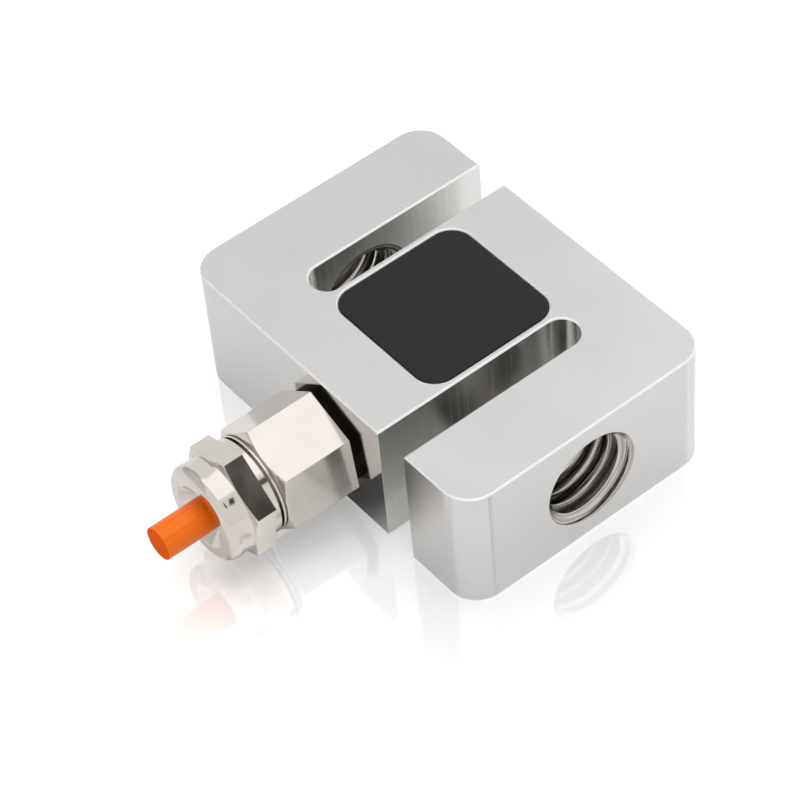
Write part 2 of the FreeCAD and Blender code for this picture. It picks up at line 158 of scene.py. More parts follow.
# %% [markdown]
# ## Steel
#
# Common name: stainless steel. The broad faces are ground, which leaves fine lines across the block
# and a satin gloss. The narrow sides are polished and mirror the floor and the gland. The slots are
# cut with a wire, which leaves a dull, even grain. The edges are broken by hand with a fine stone,
# which leaves a matt line that takes light from all sides; its pale, nearly white colour is a painted
# highlight along the edges. So there are four finishes of one metal, which differ mostly in roughness;
# only the stoned line is much paler, by its painted highlight. A real grinding line is a few
# hundredths of a millimetre wide, too fine to show, so it is drawn about a tenth wide.

# %% Steel finishes
STEEL = "#DAD9D8"
STEEL_SHADE = "#D0CFCE"
GRIND_LENGTH = 14.0
GRIND_WIDTH = 0.1
GRIND_DEPTH = 0.0006
CLOUD = 14.0
STONE_STROKE = 1.5
WIRE_GRAIN = 0.8
WIRE_STREAK = 20.0
GROUND_ROUGHNESS = (0.24, 0.34)
STONED_ROUGHNESS = (0.5, 0.7)
POLISHED_ROUGHNESS = (0.09, 0.17)
WIRE_CUT_ROUGHNESS = (0.16, 0.30)


def ground_steel():
    """Ground face: lines along X, and slow clouds where the wheel pressed more or less."""
    material, tree, shader, place = finish("ground_stainless_steel", Metallic=1.0, Anisotropic=0.3)
    squeeze = add(tree, "ShaderNodeMapping", {
        "Vector": place, "Scale": (per_mm(GRIND_LENGTH), per_mm(GRIND_WIDTH), per_mm(GRIND_WIDTH))})
    lines = add(tree, "ShaderNodeTexNoise", {"Vector": squeeze.outputs[0], "Scale": 1.0, "Detail": 2.0})
    clouds = add(tree, "ShaderNodeTexNoise", {"Vector": place, "Scale": per_mm(CLOUD), "Detail": 2.0})
    both = work_out(tree, {"lines": lines.outputs["Fac"], "clouds": clouds.outputs["Fac"]},
                    [("both", "MULTIPLY", "lines", "clouds")])
    vary(tree, shader, "Roughness", both, *GROUND_ROUGHNESS)
    tint(tree, shader, clouds.outputs["Fac"], STEEL_SHADE, STEEL)
    raise_bumps(tree, shader, lines.outputs["Fac"], GRIND_DEPTH)
    return material


def stoned_steel_painted_highlight():
    """Broken edge: matt, and pale with a painted highlight along it."""
    material, tree, shader, place = finish("stoned_steel_edge", Metallic=1.0)
    strokes = add(tree, "ShaderNodeTexNoise", {"Vector": place, "Scale": per_mm(STONE_STROKE), "Detail": 2.0})
    vary(tree, shader, "Roughness", strokes.outputs["Fac"], *STONED_ROUGHNESS)
    # The near-white colour is a painted highlight along the edges; the strokes only vary it a little.
    tint(tree, shader, strokes.outputs["Fac"], "#F6F5F3", "#FFFFFF")
    return material


def polished_steel():
    """Polished side: nearly a mirror, with a faint haze that varies."""
    material, tree, shader, place = finish("polished_stainless_steel", Metallic=1.0)
    haze = add(tree, "ShaderNodeTexNoise", {"Vector": place, "Scale": per_mm(CLOUD), "Detail": 3.0})
    vary(tree, shader, "Roughness", haze.outputs["Fac"], *POLISHED_ROUGHNESS)
    tint(tree, shader, haze.outputs["Fac"], STEEL_SHADE, STEEL)
    return material


def wire_cut_steel():
    """Slot wall: a fine even grain from the cutting wire, with faint streaks through the thickness."""
    material, tree, shader, place = finish("wire_cut_stainless_steel", Metallic=1.0)
    squeeze = add(tree, "ShaderNodeMapping", {
        "Vector": place, "Scale": (per_mm(WIRE_GRAIN), per_mm(WIRE_GRAIN), per_mm(WIRE_STREAK))})
    streaks = add(tree, "ShaderNodeTexNoise", {"Vector": squeeze.outputs[0], "Scale": 1.0, "Detail": 3.0})
    vary(tree, shader, "Roughness", streaks.outputs["Fac"], *WIRE_CUT_ROUGHNESS)
    tint(tree, shader, streaks.outputs["Fac"], "#DDDDDB", "#EAEAE8")
    return material


GROUND, POLISHED, WIRE_CUT, STONED_WITH_HIGHLIGHT = ground_steel(), polished_steel(), wire_cut_steel(), stoned_steel_painted_highlight()
print("steel finishes:", GROUND.name, POLISHED.name, WIRE_CUT.name, STONED_WITH_HIGHLIGHT.name)


# %% [markdown]
# ## Metal pieces with true edges
#
# A metal edge is never perfectly sharp: a tiny round catches the light and draws the bright line by
# which the eye reads the shape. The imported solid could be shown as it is, or rounded by a shader
# trick that an export loses. Here a copy of the solid's mesh is merged, its flat faces are joined, and
# a Bevel modifier rounds what is sharp. Weighted normals keep the flats flat.

# %% Rounded copies
SHARP = math.radians(28)    # edges that turn by more than this get a round
LEVEL = math.radians(0.3)   # faces that turn by less than this are joined
MERGE = 0.001               # points closer than this are one


def dressed_copy(node, name, edge_mm, materials, choose=None, steps=2):
    """Copy of a solid with small rounds on its edges. choose picks the material of each face."""
    mesh = frame["nodes"][node].data.copy()
    mesh.name = name
    mesh.materials.clear()
    for material in materials:
        mesh.materials.append(material)
    shape = bmesh.new()
    shape.from_mesh(mesh)
    bmesh.ops.remove_doubles(shape, verts=shape.verts, dist=MERGE * MM)
    bmesh.ops.dissolve_limit(shape, angle_limit=LEVEL, verts=shape.verts, edges=shape.edges)
    for face in shape.faces:
        face.smooth = True
        face.material_index = choose(face) if choose else 0
    shape.to_mesh(mesh)
    shape.free()
    piece = bpy.data.objects.new(name, mesh)
    bpy.context.scene.collection.objects.link(piece)
    if edge_mm:
        bevel = piece.modifiers.new("rounds", "BEVEL")
        bevel.width = edge_mm * MM
        bevel.segments = steps
        bevel.limit_method = "ANGLE"
        bevel.angle_limit = SHARP
        bevel.use_clamp_overlap = True
        bevel.material = -1
    weigh = piece.modifiers.new("flats", "WEIGHTED_NORMAL")
    weigh.keep_sharp = True
    make_plain(piece)
    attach(piece, "root")
    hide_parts(node)
    return piece


def make_plain(piece):
    """Applies the modifiers, so that the piece is a plain mesh."""
    ready = piece.evaluated_get(bpy.context.evaluated_depsgraph_get())
    mesh = bpy.data.meshes.new_from_object(ready)
    piece.modifiers.clear()
    piece.data = mesh
    print(piece.name, "faces:", len(mesh.polygons))


# %% [markdown]
# ## Block
#
# The block is one solid, so its four steel finishes are shared out face by face: by the way that a face
# points, and by whether it lies in the band of a slot. The slots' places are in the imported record.

# %% Block
BLOCK_EDGE = 0.1
EDGE_BAND = 0.3 * MM
SLOT_TOUCH = 0.3 * MM
BROAD = 0.95                # a broad face points up or down by at least this
SLOPING = (0.5, 0.9)        # a bevel round it by this much
UPRIGHT = 0.1               # and a wall by less than this
BROAD_FACE, NARROW_SIDE, SLOT_WALL, BEVEL_FACE = range(4)

openings = {opening["name"]: opening["box_m"] for opening in frame["record"]["physics"]["openings"]}
slot_near, slot_far = (abs(corner[1]) for corner in openings["upper_slot"])


def steel_of(face):
    """Which of the block's four finishes a face gets."""
    spot, tilt = face.calc_center_median(), abs(face.normal.z)
    if tilt > BROAD:
        return BROAD_FACE
    if SLOPING[0] < tilt < SLOPING[1] and min(spot.z - block_low.z, block_high.z - spot.z) < EDGE_BAND:
        return BEVEL_FACE
    in_band = slot_near - 2 * SLOT_TOUCH < abs(spot.y) < slot_far + 2 * SLOT_TOUCH
    inside = abs(spot.x) < block_high.x - SLOT_TOUCH
    return SLOT_WALL if in_band and inside and tilt < UPRIGHT else NARROW_SIDE


block = dressed_copy("s_body", "block", BLOCK_EDGE, [GROUND, POLISHED, WIRE_CUT, STONED_WITH_HIGHLIGHT], steel_of)


# %% [markdown]
# ## Load threads
#
# The solid has plain holes at the thread's major radius. The real wall is one groove that winds in
# like a spiral stair, M18 with a pitch of 2.5 mm. It follows a rule, so Geometry Nodes make it: each
# row of a grid is laid along one helix, at the height that the thread's profile has there. The real
# flanks meet at 60 degrees. Here the flat on the crest is narrower than the standard's quarter of a
# pitch, so that it draws a thinner line, and that opens the flanks to about 70. The grid is closed
# behind with an outer wall that lies in the steel. At the mouth a cone opens it, and in the slot,
# where a tap leaves a sharp edge, it is cut off flat.

# %% Thread tree
PITCH = 2.5
ROWS_A_TURN = 48
THREAD_AROUND = 128
CREST_SHARE = 0.14          # of half a pitch that is flat at the crest
ROOT_SHARE = 0.125          # and at the root


def thread_tree():
    """Closed ring with an internal thread. Its axis is +Y and it starts at y = 0."""
    tree = bpy.data.node_groups.new("internal_thread", "GeometryNodeTree")
    ports = tree.interface
    ports.new_socket("Geometry", in_out="OUTPUT", socket_type="NodeSocketGeometry")
    for name in ("Major radius", "Minor radius", "Outer radius", "Pitch", "Length", "Cone radius"):
        ports.new_socket(name, in_out="INPUT", socket_type="NodeSocketFloat")
    ports.new_socket("Material", in_out="INPUT", socket_type="NodeSocketMaterial")
    sizes = add(tree, "NodeGroupInput").outputs
    flat = add(tree, "ShaderNodeSeparateXYZ", {0: add(tree, "GeometryNodeInputPosition").outputs[0]}).outputs
    known = {**dict(sizes.items()), **dict(flat.items())}

    # The grid is one unit wide and high. X becomes the way round, and each row is one step of the helix.
    work_out(tree, known, (
        ("turns", "DIVIDE", "Length", "Pitch"),
        ("turns and one", "ADD", "turns", 1.0),
        ("steps", "MULTIPLY", "turns and one", ROWS_A_TURN),
        ("rows", "CEIL", "steps"),
        ("rows in all", "ADD", "rows", 4.0),
        ("around", "ADD", "X", 0.5),
        ("up", "ADD", "Y", 0.5),
        ("last row", "ADD", "rows", 3.0),
        ("row reached", "MULTIPLY", "up", "last row"),
        ("row", "ROUND", "row reached"),
        # How far in each point lies: it follows the helix, but stays between the mouth and the slot.
        ("helix row", "SUBTRACT", "row", 1.0),
        ("turns wound", "DIVIDE", "helix row", ROWS_A_TURN),
        ("turns in", "SUBTRACT", "turns wound", 1.0),
        ("helix", "ADD", "turns in", "around"),
        ("helix depth", "MULTIPLY", "helix", "Pitch"),
        ("past mouth", "MAXIMUM", "helix depth", 0.0),
        ("in hole", "MINIMUM", "past mouth", "Length"),
        ("closing row", "ADD", "rows", 2.5),
        ("before closing", "LESS_THAN", "row", "closing row"),
        ("along", "MULTIPLY", "in hole", "before closing"),
        # How far each point is from the nearest crest, where half a pitch counts as one.
        ("pitches", "DIVIDE", "along", "Pitch"),
        ("pitches less way round", "SUBTRACT", "pitches", "around"),
        ("phase", "FRACT", "pitches less way round"),
        ("phase back", "SUBTRACT", 1.0, "phase"),
        ("nearer", "MINIMUM", "phase", "phase back"),
        ("from crest", "MULTIPLY", "nearer", 2.0)))

    known["profile"] = add(tree, "ShaderNodeMapRange", {
        "Value": known["from crest"], "From Min": CREST_SHARE, "From Max": 1.0 - ROOT_SHARE,
        "To Min": sizes["Minor radius"], "To Max": sizes["Major radius"]}).outputs[0]
    work_out(tree, known, (
        ("cone", "SUBTRACT", "Cone radius", "along"),
        ("wall", "MAXIMUM", "profile", "cone"),
        # The first row and the last ones make the outer wall that closes the ring.
        ("first", "LESS_THAN", "row", 0.5),
        ("past inner rows", "ADD", "rows", 1.5),
        ("last", "GREATER_THAN", "row", "past inner rows"),
        ("is outer", "ADD", "first", "last")))
    known["radius"] = add(tree, "GeometryNodeSwitch", {
        "Switch": known["is outer"], "False": known["wall"], "True": sizes["Outer radius"]},
        input_type="FLOAT").outputs[0]
    work_out(tree, known, (
        ("angle", "MULTIPLY", "around", math.tau),
        ("cosine", "COSINE", "angle"),
        ("sine", "SINE", "angle"),
        ("out X", "MULTIPLY", "radius", "cosine"),
        ("out Z", "MULTIPLY", "radius", "sine")))

    grid = add(tree, "GeometryNodeMeshGrid", {
        "Size X": 1.0, "Size Y": 1.0, "Vertices X": THREAD_AROUND + 1, "Vertices Y": known["rows in all"]})
    spot = add(tree, "ShaderNodeCombineXYZ", {"X": known["out X"], "Y": known["along"], "Z": known["out Z"]})
    laid = add(tree, "GeometryNodeSetPosition", {"Geometry": grid.outputs["Mesh"], "Position": spot.outputs[0]})
    closed = add(tree, "GeometryNodeMergeByDistance", {"Geometry": laid.outputs[0], "Distance": MERGE * MM})
    real = add(tree, "GeometryNodeRealizeInstances", {"Geometry": closed.outputs[0]})
    smooth = add(tree, "GeometryNodeSetShadeSmooth", {"Geometry": real.outputs[0], "Shade Smooth": True})
    painted = add(tree, "GeometryNodeSetMaterial", {
        "Geometry": smooth.outputs[0], "Material": sizes["Material"]})
    add(tree, "NodeGroupOutput", {"Geometry": painted.outputs[0]})
    return tree


THREAD_TREE = thread_tree()
print("thread tree nodes:", len(THREAD_TREE.nodes))


# %% Pieces grown by a tree


def grown(name, tree, **inputs):
    """Plain mesh piece grown by a geometry tree, with the tree's inputs filled in."""
    piece = bpy.data.objects.new(name, bpy.data.meshes.new(name))
    bpy.context.scene.collection.objects.link(piece)
    growth = piece.modifiers.new("growth", "NODES")
    growth.node_group = tree
    for socket in tree.interface.items_tree:
        key = socket.name.replace(" ", "_").lower()
        if socket.in_out == "INPUT" and key in inputs:
            growth[socket.identifier] = inputs[key]
    make_plain(piece)
    return piece


print("inputs of the tree:", ", ".join(s.name for s in THREAD_TREE.interface.items_tree if s.in_out == "INPUT"))


# %% [markdown]
# ## Finish of the thread
#
# A tap leaves bright crests and fine marks that run along the groove. So the metal is light on the
# crests and darker behind them, in fine rings: partly tool marks, and partly painted shade in the
# grooves. It is darker again a few millimetres in from the mouth, which is painted shade deep in the hole.

# %% Tapped steel
THREAD_DEPTH = 1.35
CREST_BAND = 0.12
# Painted shade in the hole grows over these millimetres from the mouth.
HOLE_SHADE_FROM, HOLE_SHADE_TO = 1.0, 5.0
NEAR_MOUTH = 0.5            # share of the painted shade deep in the hole that is left near the mouth
TOOL_MARK = 0.35
MARK_DEPTH = 0.05
MARK_EDGES = (0.42, 0.58)   # where a mark starts and is full, in the noise
BETWEEN_MARKS = 0.35        # share of the darkness that is left between two marks
TAPPED_ROUGHNESS = (0.12, 0.3)

mounts = {mount["name"]: mount for mount in frame["record"]["mounts"]}


def tapped_steel():
    """Thread wall: bright crests, and flanks with fine tool marks, darker behind the crests and deeper in by
    painted shade.
    """
    material, tree, shader, place = finish("tapped_stainless_steel", Metallic=1.0)
    axis = mounts["load_thread_low"]
    known = dict(add(tree, "ShaderNodeSeparateXYZ", {0: place}).outputs.items())
    work_out(tree, known, (
        ("across", "SUBTRACT", "X", axis["pos_m"][0]),
        ("above", "SUBTRACT", "Z", axis["pos_m"][2]),
        ("off middle", "ABSOLUTE", "Y"),
        ("depth", "SUBTRACT", block_high.y, "off middle")))
    from_axis = add(tree, "ShaderNodeCombineXYZ", {"X": known["across"], "Z": known["above"]}).outputs[0]
    reach = add(tree, "ShaderNodeVectorMath", {0: from_axis}, operation="LENGTH").outputs["Value"]
    crest = (axis["dims"]["r_mm"] - THREAD_DEPTH) * MM
    known["off crest"] = add(tree, "ShaderNodeMapRange", {
        "Value": reach, "From Min": crest + CREST_BAND * MM / 2,
        "From Max": crest + CREST_BAND * MM}).outputs[0]
    known["deeper_in"] = add(tree, "ShaderNodeMapRange", {
        "Value": known["depth"], "From Min": HOLE_SHADE_FROM * MM, "From Max": HOLE_SHADE_TO * MM}).outputs[0]
    groove = add(tree, "ShaderNodeCombineXYZ", {"X": reach, "Y": known["Y"]}).outputs[0]
    marks = add(tree, "ShaderNodeTexNoise", {"Vector": groove, "Scale": per_mm(TOOL_MARK), "Detail": 2.0})
    known["rings"] = add(tree, "ShaderNodeMapRange", {
        "Value": marks.outputs["Fac"], "From Min": MARK_EDGES[0], "From Max": MARK_EDGES[1],
        "To Min": BETWEEN_MARKS, "To Max": 1.0}).outputs[0]
    # Painted shade: darker off the crests, in the grooves, and darker deeper in the hole; the fine rings are
    # tool marks.
    dark = work_out(tree, known, (
        ("hole_shade", "MAXIMUM", "deeper_in", NEAR_MOUTH),
        ("marks_and_shade", "MULTIPLY", "rings", "hole_shade"),
        ("dark", "MULTIPLY", "off crest", "marks_and_shade")))
    vary(tree, shader, "Roughness", marks.outputs["Fac"], *TAPPED_ROUGHNESS)
    raise_bumps(tree, shader, marks.outputs["Fac"], MARK_DEPTH)
    tint(tree, shader, dark, "#DAD6D0", "#4E4740")
    return material


TAPPED = tapped_steel()
print("thread finish:", TAPPED.name)


# %% Threads in both arms
ROOT_COVER = 0.03           # metal left between the thread's root and the plain hole
OUTER_COVER = 0.03          # how far the ring's outer wall lies in the block


def load_thread(mount, name):
    """Thread for one hole, turned to the way that the hole's mouth points."""
    radius, long = mount["dims"]["r_mm"], mount["dims"]["length_mm"]
    outward = mount["axis"][1]
    piece = grown(name, THREAD_TREE, major_radius=(radius - ROOT_COVER) * MM,
                  minor_radius=(radius - THREAD_DEPTH) * MM, outer_radius=(radius + OUTER_COVER) * MM,
                  pitch=PITCH * MM, length=long * MM, cone_radius=radius * MM, material=TAPPED)
    mouth = mount["pos_m"][1] + outward * long * MM / 2
    turn = Matrix.Rotation(math.pi if outward > 0 else 0.0, 4, "X")
    piece.data.transform(Matrix.Translation((mount["pos_m"][0], mouth, mount["pos_m"][2])) @ turn)
    piece.data.set_sharp_from_angle(angle=SHARP)
    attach(piece, "root")
    return piece


for which in ("low", "high"):
    thread = load_thread(mounts["load_thread_" + which], which + "_arm_thread")
    depths = [vertex.co.y for vertex in thread.data.vertices]
    print(thread.name, "reach along Y in mm:", round(min(depths) / MM, 2), round(max(depths) / MM, 2))


# %% [markdown]
# ## Cable gland
#
# Common name: nickel-plated brass. The bars are turned and milled, then plated, so they are nearly a
# mirror with a warm tone, and the plating softens every edge. The nut has a collar behind, a hexagon,
# a waist, a rounded lip and a countersunk mouth where the cable comes out.

# %% Plating
PLATED_EDGE, PLATED_STEPS = 0.2, 3
BATH_CLOUD = 5.0
RIPPLE, RIPPLE_DEPTH = 3.0, 0.01
NICKEL_ROUGHNESS = (0.09, 0.18)


def nickel_plate():
    """Plated brass: warm, bright, with a faint unevenness from the plating bath."""
    material, tree, shader, place = finish("nickel_plated_brass", Metallic=1.0)
    bath = add(tree, "ShaderNodeTexNoise", {"Vector": place, "Scale": per_mm(BATH_CLOUD), "Detail": 3.0})
    vary(tree, shader, "Roughness", bath.outputs["Fac"], *NICKEL_ROUGHNESS)
    tint(tree, shader, bath.outputs["Fac"], "#D1CAC3", "#DED8D2")
    ripple = add(tree, "ShaderNodeTexNoise", {"Vector": place, "Scale": per_mm(RIPPLE), "Detail": 1.0})
    raise_bumps(tree, shader, ripple.outputs["Fac"], RIPPLE_DEPTH)
    return material


NICKEL = nickel_plate()
gland = dressed_copy("gland_body", "gland", PLATED_EDGE, [NICKEL], steps=PLATED_STEPS)
nut = dressed_copy("dome_nut", "gland_nut", PLATED_EDGE, [NICKEL], steps=PLATED_STEPS)


# %% [markdown]
# ## Seals
#
# The washer between gland and block is nitrile rubber, pressed flat. The seal and the clawed cage sit
# inside the nut. Moulded rubber and polyamide are dull and nearly black.

# %% Rubber and polyamide
def moulded(name, dark, light, roughness, grain_mm, depth_mm, specular=0.5):
    """Dull moulded stuff with a fine grain."""
    material, tree, shader, place = finish(name, Roughness=roughness, Specular_IOR_Level=specular)
    grain = add(tree, "ShaderNodeTexNoise", {"Vector": place, "Scale": per_mm(grain_mm), "Detail": 3.0})
    tint(tree, shader, grain.outputs["Fac"], dark, light)
    raise_bumps(tree, shader, grain.outputs["Fac"], depth_mm)
    return material


def dress(node, material):
    """Gives a solid that stays as it is its finish."""
    mesh = frame["nodes"][node].data
    mesh.materials.clear()
    mesh.materials.append(material)


dress("sealing_washer", moulded("nitrile_rubber", "#080503", "#0E0A07", roughness=0.6,
                                grain_mm=0.4, depth_mm=0.01, specular=0.08))
dress("compression_seal", moulded("neoprene_rubber", "#121212", "#1E1E1E", roughness=0.6,
                                  grain_mm=0.3, depth_mm=0.01))
dress("clamp_cage", moulded("moulded_polyamide", "#161616", "#232323", roughness=0.5,
                            grain_mm=0.25, depth_mm=0.008))
print("seals dressed")


# %% [markdown]
# ## Cable
#
# Common name: PVC jacket, orange, drawn smooth and a little glossy. Light enters the plastic a little,
# which warms its shaded side. The jacket is closed over the end of the stub, and is matt there. In it
# lie a tinned copper braid, a filler and four coloured cores.

# %% Cable finishes
DRAW_LENGTH, DRAW_WIDTH, DRAW_DEPTH = 12.0, 0.35, 0.006
LIGHT_REACH = 0.8           # how far light goes into the plastic
BRAID_WIRE, BRAID_DEPTH = 0.15, 0.05
STRAND, STRAND_DEPTH = 0.2, 0.04


def pvc(name, dark, light, roughness=0.32, specular=0.3):
    """Drawn plastic: even colour, faint lengthwise drawing lines."""
    material, tree, shader, place = finish(
        name, Roughness=roughness, Specular_IOR_Level=specular, Subsurface_Weight=0.06,
        Subsurface_Radius=(1.0, 0.35, 0.12), Subsurface_Scale=LIGHT_REACH * MM)
    squeeze = add(tree, "ShaderNodeMapping", {
        "Vector": place, "Scale": (per_mm(DRAW_LENGTH), per_mm(DRAW_WIDTH), per_mm(DRAW_WIDTH))})
    lines = add(tree, "ShaderNodeTexNoise", {"Vector": squeeze.outputs[0], "Scale": 1.0, "Detail": 2.0})
    tint(tree, shader, lines.outputs["Fac"], dark, light)
    raise_bumps(tree, shader, lines.outputs["Fac"], DRAW_DEPTH)
    return material


def tinned_copper():
    """Fine tinned wires, crossed as a braid crosses."""
    material, tree, shader, place = finish("tinned_copper_wire", Metallic=1.0, Roughness=0.3)
    wires = add(tree, "ShaderNodeTexVoronoi", {"Vector": place, "Scale": per_mm(BRAID_WIRE)})
    tint(tree, shader, wires.outputs["Distance"], "#8E8B86", "#D2CFCA")
    raise_bumps(tree, shader, wires.outputs["Distance"], BRAID_DEPTH)
    return material


def bare_copper():
    """Stranded copper: each strand is a round bump."""
    material, tree, shader, place = finish("bare_copper_strand", Metallic=1.0, Roughness=0.25)
    strands = add(tree, "ShaderNodeTexVoronoi", {"Vector": place, "Scale": per_mm(STRAND)})
    tint(tree, shader, strands.outputs["Distance"], "#C98E6C", "#E8B08C")
    raise_bumps(tree, shader, strands.outputs["Distance"], STRAND_DEPTH)
    return material


print("fine wires in mm:", BRAID_WIRE, "in the braid,", STRAND, "in a core")


# %% Cable
JACKET_EDGE = 0.25
END_BAND = 0.5 * MM
FACES_OUT = 0.5             # the sealed end points away from the gland by at least this
DRAWN_SIDE, SEALED_END = range(2)
ORANGE = pvc("drawn_orange_pvc", "#F46600", "#FF7C00", roughness=0.2, specular=0.25)
MATT_ORANGE = pvc("sealed_orange_pvc", "#EC5800", "#F46600", roughness=0.7, specular=0.05)


def jacket_finish(face):
    """Which of the jacket's two finishes a face gets."""
    at_end = face.normal.x < -FACES_OUT and face.calc_center_median().x < cable_end + END_BAND
    return SEALED_END if at_end else DRAWN_SIDE


jacket = dressed_copy("cable_jacket", "orange_jacket", JACKET_EDGE, [ORANGE, MATT_ORANGE], jacket_finish)
BRAID, COPPER = tinned_copper(), bare_copper()
for node in ("cable_braid", "drain_wire", "top_gauge_leads", "bottom_gauge_leads"):
    dress(node, BRAID)
dress("cable_filler", moulded("cotton_filler", "#CFCABD", "#E6E2D8", roughness=0.9,
                              grain_mm=0.2, depth_mm=0.04))
CORE_COLOURS = {"red": ("#A81510", "#B91B14"), "green": ("#0E6A2C", "#138038"),
                "black": ("#0C0C0C", "#161616"), "white": ("#D8D6D0", "#E6E4DE")}
for core, (dark, light) in CORE_COLOURS.items():
    dress("core_" + core, pvc("drawn_" + core + "_pvc", dark, light))
    dress("copper_" + core, COPPER)
print("cores:", ", ".join(CORE_COLOURS))


# %% [markdown]
# ## Covers
#
# Each gauge pocket is closed by a plate of black epoxy, smooth and a little glossy. Its surface is
# not quite even, so what it mirrors is soft.

# %% Epoxy covers
COVER_EDGE = 0.06
EPOXY_WAVE, EPOXY_DEPTH = 9.0, 0.06
EPOXY_ROUGHNESS = (0.12, 0.24)


def black_epoxy():
    """Cast plate: nearly black, with slow waves in its gloss."""
    material, tree, shader, place = finish("cast_black_epoxy", Specular_IOR_Level=0.35)
    cloud = add(tree, "ShaderNodeTexNoise", {"Vector": place, "Scale": per_mm(EPOXY_WAVE), "Detail": 2.0})
    vary(tree, shader, "Roughness", cloud.outputs["Fac"], *EPOXY_ROUGHNESS)
    tint(tree, shader, cloud.outputs["Fac"], "#080707", "#0F0E0E")
    raise_bumps(tree, shader, cloud.outputs["Fac"], EPOXY_DEPTH)
    return material


EPOXY = black_epoxy()
for side in ("top", "bottom"):
    plate = dressed_copy(side + "_cover", side + "_cover_plate", COVER_EDGE, [EPOXY])


# %% [markdown]
# ## Inside the pockets
#
# Nothing of this shows until a cover is off, but a part that is taken apart should still read: amber
# gauge foil, a green glass board, ceramic chip resistors, bright solder and pale grey gel.

# %% Inner finishes
GRID_LOOP = 1.6
SOLDER_SKIN = 0.6
SOLDER_ROUGHNESS = (0.1, 0.3)


def gauge_foil():
    """Amber film with the fine loops of the metal grid."""
    material, tree, shader, place = finish("polyimide_gauge_film", Roughness=0.25)
    grid = add(tree, "ShaderNodeTexWave", {"Vector": place, "Scale": per_mm(GRID_LOOP)},
               bands_direction="DIAGONAL")
    tint(tree, shader, grid.outputs["Fac"], "#8F5A1C", "#C98A35")
    return material


def solder():
    """Bright metal that froze with a slightly uneven skin."""
    material, tree, shader, place = finish("bright_solder", Metallic=1.0)
    skin = add(tree, "ShaderNodeTexNoise", {"Vector": place, "Scale": per_mm(SOLDER_SKIN), "Detail": 2.0})
    vary(tree, shader, "Roughness", skin.outputs["Fac"], *SOLDER_ROUGHNESS)
    tint(tree, shader, skin.outputs["Fac"], "#B9BABD", "#D6D7DA")
    return material


FOIL, SOLDER = gauge_foil(), solder()
BOARD = moulded("green_glass_epoxy", "#134A28", "#1C5E34", roughness=0.4, grain_mm=0.5, depth_mm=0.01)
GEL = moulded("silicone_gel", "#B9BCB8", "#C9CCC8", roughness=0.2, grain_mm=4.0, depth_mm=0.02)
CERAMIC = moulded("black_chip_ceramic", "#141416", "#202024", roughness=0.35, grain_mm=0.3, depth_mm=0.005)
for side in ("top", "bottom"):
    dress(side + "_left_gauge", FOIL)
    dress(side + "_right_gauge", FOIL)
    dress(side + "_terminal_board", BOARD)
    dress(side + "_solder_joints", SOLDER)
    dress(side + "_potting", GEL)
for job in ("zero", "span", "temperature"):
    dress(job + "_trim_resistor", CERAMIC)
dress("bridge_wires", pvc("enamelled_wire", "#7A1A12", "#8E2218"))
print("pockets dressed")


# %% [markdown]
# ## Floor and surround
#
# Polished metal has no look of its own: it shows the room. The room here is a white sheet of acrylic
# to stand on and a pale surround. Near the block the sheet takes a soft shadow and mirrors a little,
# and further off it fades to white. Two things here are aids for the look that no real sheet has: it
# glows a little to the eye, so that it reads as white, and metal sees it darker under the gland's root.

# %% Floor
FLOOR_SIZE = 6.0            # metres
FLOOR_DROP = 0.02
FLOOR_GLOSS = 0.3           # share of the sheet that mirrors
FLOOR_ROUGHNESS = 0.07
GLOW_TO_EYE, GLOW_FAR_OFF = 0.36, 1.1
FADE_FROM, FADE_TO = 50.0, 95.0
GLOW_IN_METAL = 0.08
GLAND_SHADE = 0.75          # how much darker metal sees the sheet under the gland's root
GLAND_FOOT = Vector((-30.0, -4.0, 0.0)) * MM
SHADE_FROM, SHADE_TO = 3.0, 15.0


def sheet_of(name, places):
    """Flat four-cornered stage piece."""
    mesh = bpy.data.meshes.new(name)
    mesh.from_pydata(places, [], [(0, 1, 2, 3)])
    piece = bpy.data.objects.new(name, mesh)
    bpy.context.scene.collection.objects.link(piece)
    return piece


